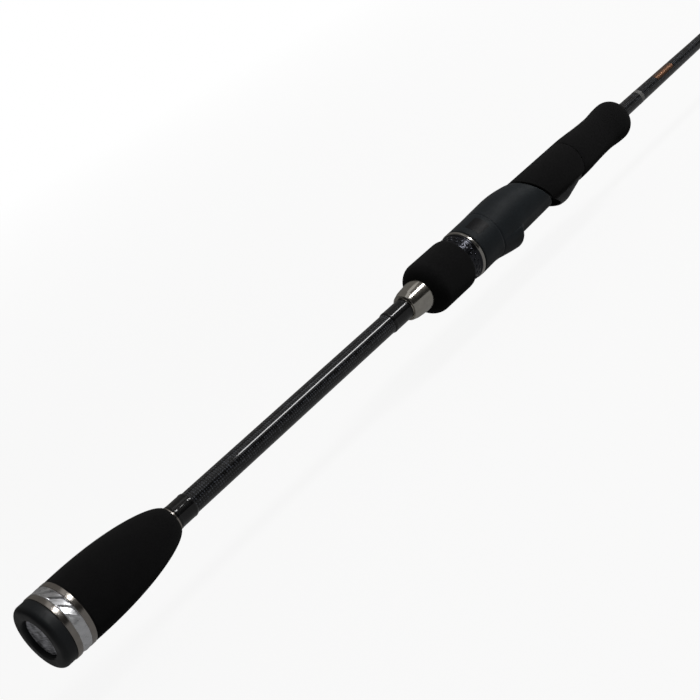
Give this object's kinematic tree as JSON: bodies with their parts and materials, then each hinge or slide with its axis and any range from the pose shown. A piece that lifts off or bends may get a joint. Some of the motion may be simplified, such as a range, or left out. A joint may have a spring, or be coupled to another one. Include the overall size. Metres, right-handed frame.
{
  "type": "spinning rod",
  "caption": "Two-piece carbon spinning rod with a split foam grip, an up-locking reel seat under a threaded foregrip, and ceramic-ringed line guides.",
  "frame": {"origin": "centre of the butt cap's rear face, on the rod's axis", "axes": "+X along the rod to its tip, +Z away from the reel and the guides, Y across"},
  "size_m": [1.98, 0.0286, 0.0528],
  "materials": {
    "eva_foam": "matte closed-cell foam, fine grain",
    "cap_rubber": "satin moulded rubber",
    "badge": "brushed, slightly worn",
    "satin_ring": "satin anodised, warm grey",
    "bright_ring": "diamond-cut, bright",
    "dark_ring": "gunmetal anodised, patterned",
    "polished_check": "polished",
    "seat_plastic": "soft-touch coating",
    "hood_plastic": "satin moulded nylon",
    "nut_plastic": "moulded nylon",
    "arbor": "rigid foam",
    "coated_thread": "black thread under clear epoxy",
    "carbon_blank": "clear-coated carbon",
    "ceramic": "polished black ceramic",
    "guide_steel": "polished, dark plated"
  },
  "bodies": {
    "butt_section": {"butt_cap": "cap_rubber", "butt_badge": "badge", "butt_ring_rear": "satin_ring", "butt_ring_broad": "bright_ring", "butt_ring_front": "satin_ring", "rear_grip": "eva_foam", "grip_check": "satin_ring", "rear_wrap": "coated_thread", "butt_blank": "carbon_blank", "front_wrap": "coated_thread", "seat_check": "polished_check", "grip_collar": "eva_foam", "trim_ring": "dark_ring", "seat_ring": "bright_ring", "reel_seat": "seat_plastic", "seat_arbor_rear": "arbor", "seat_arbor_front": "arbor", "butt_ferrule_wrap": "coated_thread", "guide_1_frame": "guide_steel", "guide_1_ring": "ceramic", "guide_1_wrap": "coated_thread"},
    "moving_hood": {"moving_hood": "hood_plastic", "hood_cover": "eva_foam"},
    "foregrip": {"lock_nut": "nut_plastic", "foregrip": "eva_foam"},
    "tip_section": {"tip_ferrule_wrap": "coated_thread", "tip_blank": "carbon_blank", "guide_2_frame": "guide_steel", "guide_2_ring": "ceramic", "guide_2_wrap": "coated_thread", "guide_3_frame": "guide_steel", "guide_3_ring": "ceramic", "guide_3_wrap": "coated_thread", "guide_4_frame": "guide_steel", "guide_4_ring": "ceramic", "guide_4_wrap": "coated_thread", "guide_5_frame": "guide_steel", "guide_5_ring": "ceramic", "guide_5_wrap": "coated_thread", "guide_6_frame": "guide_steel", "guide_6_ring": "ceramic", "guide_6_wrap": "coated_thread", "guide_7_frame": "guide_steel", "guide_7_ring": "ceramic", "guide_7_wrap": "coated_thread", "tip_tube": "guide_steel", "tip_ring": "ceramic", "tip_wrap": "coated_thread"}
  },
  "joints": [
    {"name": "hood_slide", "type": "slide", "parent": "butt_section", "child": "moving_hood", "axis": [1, 0, 0], "range_m": [0, 0.02]},
    {"name": "foregrip_turn", "type": "hinge", "parent": "moving_hood", "child": "foregrip", "pos_m": [0.3618, 0, 0], "axis": [1, 0, 0], "range_deg": [0, 3600]},
    {"name": "ferrule_slide", "type": "slide", "parent": "butt_section", "child": "tip_section", "axis": [1, 0, 0], "range_m": [0, 0.052]}
  ],
  "couplings": [
    {"joint": "foregrip_turn", "follows": "hood_slide", "rad_per_m": 3141.6}
  ]
}
